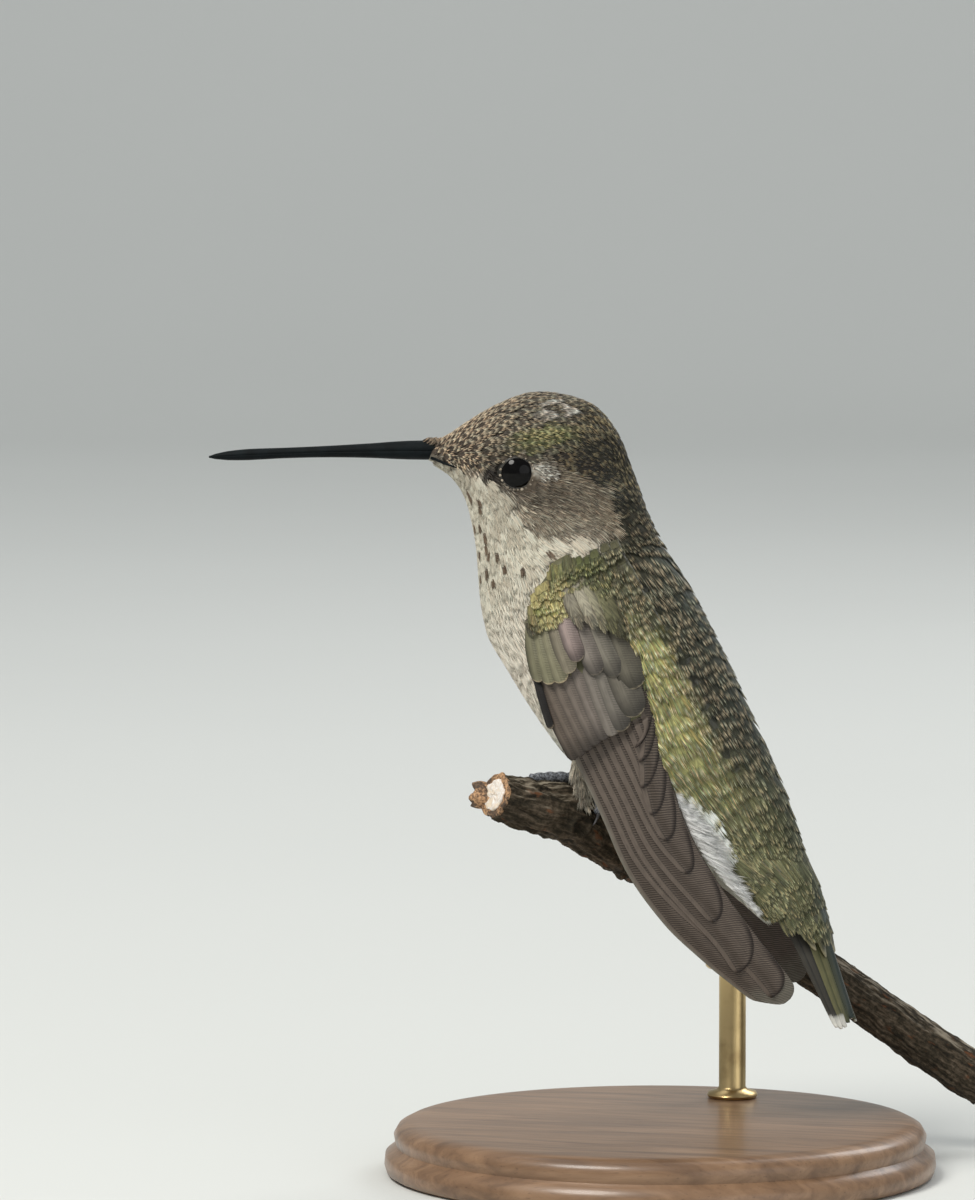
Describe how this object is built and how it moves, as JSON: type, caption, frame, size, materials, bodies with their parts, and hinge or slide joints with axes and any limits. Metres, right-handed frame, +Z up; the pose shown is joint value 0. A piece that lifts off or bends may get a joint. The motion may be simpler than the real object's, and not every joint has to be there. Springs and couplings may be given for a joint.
{
  "type": "perched hummingbird",
  "caption": "Still life-size model of a perched hummingbird with folded wings and a long straight bill, gripping a cut twig held by a small round display stand.",
  "frame": {"origin": "centre of the flat underside of the stand's round base", "axes": "+Z up, the bird faces -X, its left side is at -Y, and its body's mirror plane is Y = 0"},
  "size_m": [0.0696, 0.052, 0.0736],
  "materials": {
    "bill": "charcoal horn, satin",
    "eye": "wet black, high gloss",
    "foot": "dark blue-grey scaled skin and claws",
    "head_feathers": "small brown feathers with buff edges, pale throat",
    "body_feathers": "bronze-green back with buff feather edges, whitish underside",
    "covert_feathers": "grey-brown coverts, gold-green at the shoulder",
    "flight_feathers": "dusky brown barred vanes with a soft sheen",
    "tail_feathers": "dark green vanes, black and white at the outer tips",
    "down": "loose whitish leg down",
    "bark": "rough dark grey-brown bark with a pale cut end",
    "wood": "satin oiled wood",
    "brass": "satin brass"
  },
  "bodies": {
    "root": {"bill_lower": "bill", "bill_upper": "bill", "eye_left": "eye", "eye_right": "eye", "foot_left": "foot", "foot_right": "foot", "head": "head_feathers", "leg_left": "down", "leg_right": "down", "neck": "head_feathers", "perch": "bark", "primaries_left": "flight_feathers", "primaries_right": "flight_feathers", "stand_base": "wood", "stand_rod": "brass", "stand_saddle": "brass", "tail": "tail_feathers", "trunk": "body_feathers", "wing_left": "covert_feathers", "wing_right": "covert_feathers"}
  },
  "joints": []
}
